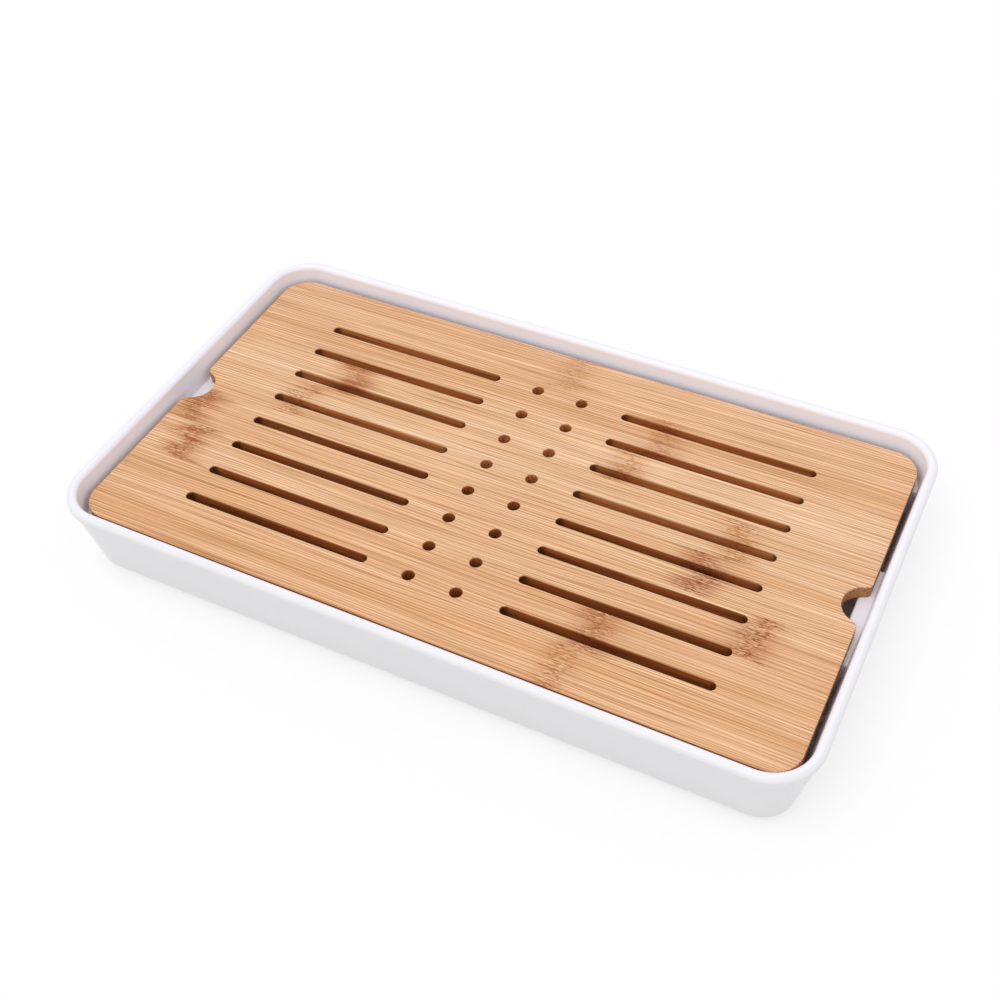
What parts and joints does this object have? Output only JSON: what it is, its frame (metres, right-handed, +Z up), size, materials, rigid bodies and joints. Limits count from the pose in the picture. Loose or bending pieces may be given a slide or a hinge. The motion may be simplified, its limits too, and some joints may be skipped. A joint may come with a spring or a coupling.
{
  "type": "gongfu tea tray",
  "caption": "Rectangular tea tray with a lift-out slotted bamboo board over a white moulded drip tray with rounded corners and soft pads underneath.",
  "frame": {"origin": "on the table under the middle of the tray, at the underside of the pads", "axes": "+X along the tray's length, +Y towards its back long side, +Z up"},
  "size_m": [0.3064, 0.1774, 0.037],
  "materials": {
    "white_moulding": "smooth moulded, satin gloss",
    "bamboo_amber": "sanded and thinly lacquered bamboo, warm",
    "bamboo_pale": "sanded and thinly lacquered bamboo, pale",
    "bamboo_honey": "sanded and thinly lacquered bamboo, honey",
    "silicone_pad": "translucent white, matt"
  },
  "bodies": {
    "tray": {"tray": "white_moulding", "foot_pad_1": "silicone_pad", "foot_pad_2": "silicone_pad", "foot_pad_3": "silicone_pad", "foot_pad_4": "silicone_pad"},
    "board": {"bamboo_strip_1": "bamboo_amber", "bamboo_strip_2": "bamboo_amber", "bamboo_strip_3": "bamboo_pale", "bamboo_strip_4": "bamboo_pale", "bamboo_strip_5": "bamboo_honey", "bamboo_strip_6": "bamboo_honey", "bamboo_strip_7": "bamboo_amber", "bamboo_strip_8": "bamboo_amber"}
  },
  "joints": [
    {"name": "board_lift", "type": "slide", "parent": "tray", "child": "board", "axis": [0, 0, 1], "range_m": [0, 0.06]}
  ]
}
